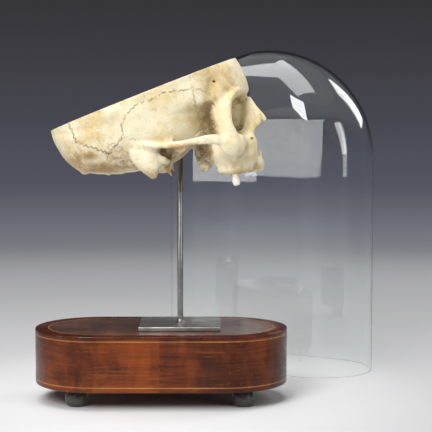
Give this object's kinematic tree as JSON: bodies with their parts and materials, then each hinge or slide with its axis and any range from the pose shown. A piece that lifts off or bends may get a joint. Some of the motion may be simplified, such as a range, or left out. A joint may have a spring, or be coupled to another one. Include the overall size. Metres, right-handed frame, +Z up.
{
  "type": "human skull with sawn-off cap on a rod stand with glass dome",
  "caption": "Human cranium with its cap sawn off, held nose-up on a steel rod and plate over an oval inlaid mahogany base, with its oval glass dome standing beside it.",
  "frame": {"origin": "middle of the whole's outline, on the level the base's feet and the dome stand on", "axes": "+Z up, +X the way the skull faces along the base's long side, +Y from the base towards the dome's side"},
  "size_m": [0.3132, 0.3168, 0.313],
  "materials": {
    "bone": "dry matt ivory bone with ochre stains",
    "tooth": "smooth worn enamel",
    "steel": "dull polished mild steel",
    "mahogany": "french-polished mahogany",
    "crossband": "french-polished crossbanding",
    "stringing": "pale boxwood line under polish",
    "ebonised": "black stained and waxed",
    "glass": "thin clear blown glass"
  },
  "bodies": {
    "root": {"base_carcass": "mahogany", "base_border": "crossband", "base_field": "mahogany", "base_string_top": "stringing", "base_string_low": "stringing", "base_string_high": "stringing", "base_foot_r_front": "ebonised", "base_foot_r_back": "ebonised", "base_foot_l_front": "ebonised", "base_foot_l_back": "ebonised", "mount_plate": "steel", "mount_rod": "steel", "skull_vomer": "bone", "skull_tooth": "tooth", "skull_nasal_r": "bone", "skull_nasal_l": "bone", "skull_zygomatic_r": "bone", "skull_zygomatic_l": "bone", "skull_maxilla_r": "bone", "skull_maxilla_l": "bone", "skull_frontal": "bone", "skull_parietal_r": "bone", "skull_parietal_l": "bone", "skull_temporal_r": "bone", "skull_temporal_l": "bone", "skull_occipital": "bone", "skull_sphenoid": "bone", "dome_glass": "glass"}
  },
  "joints": []
}
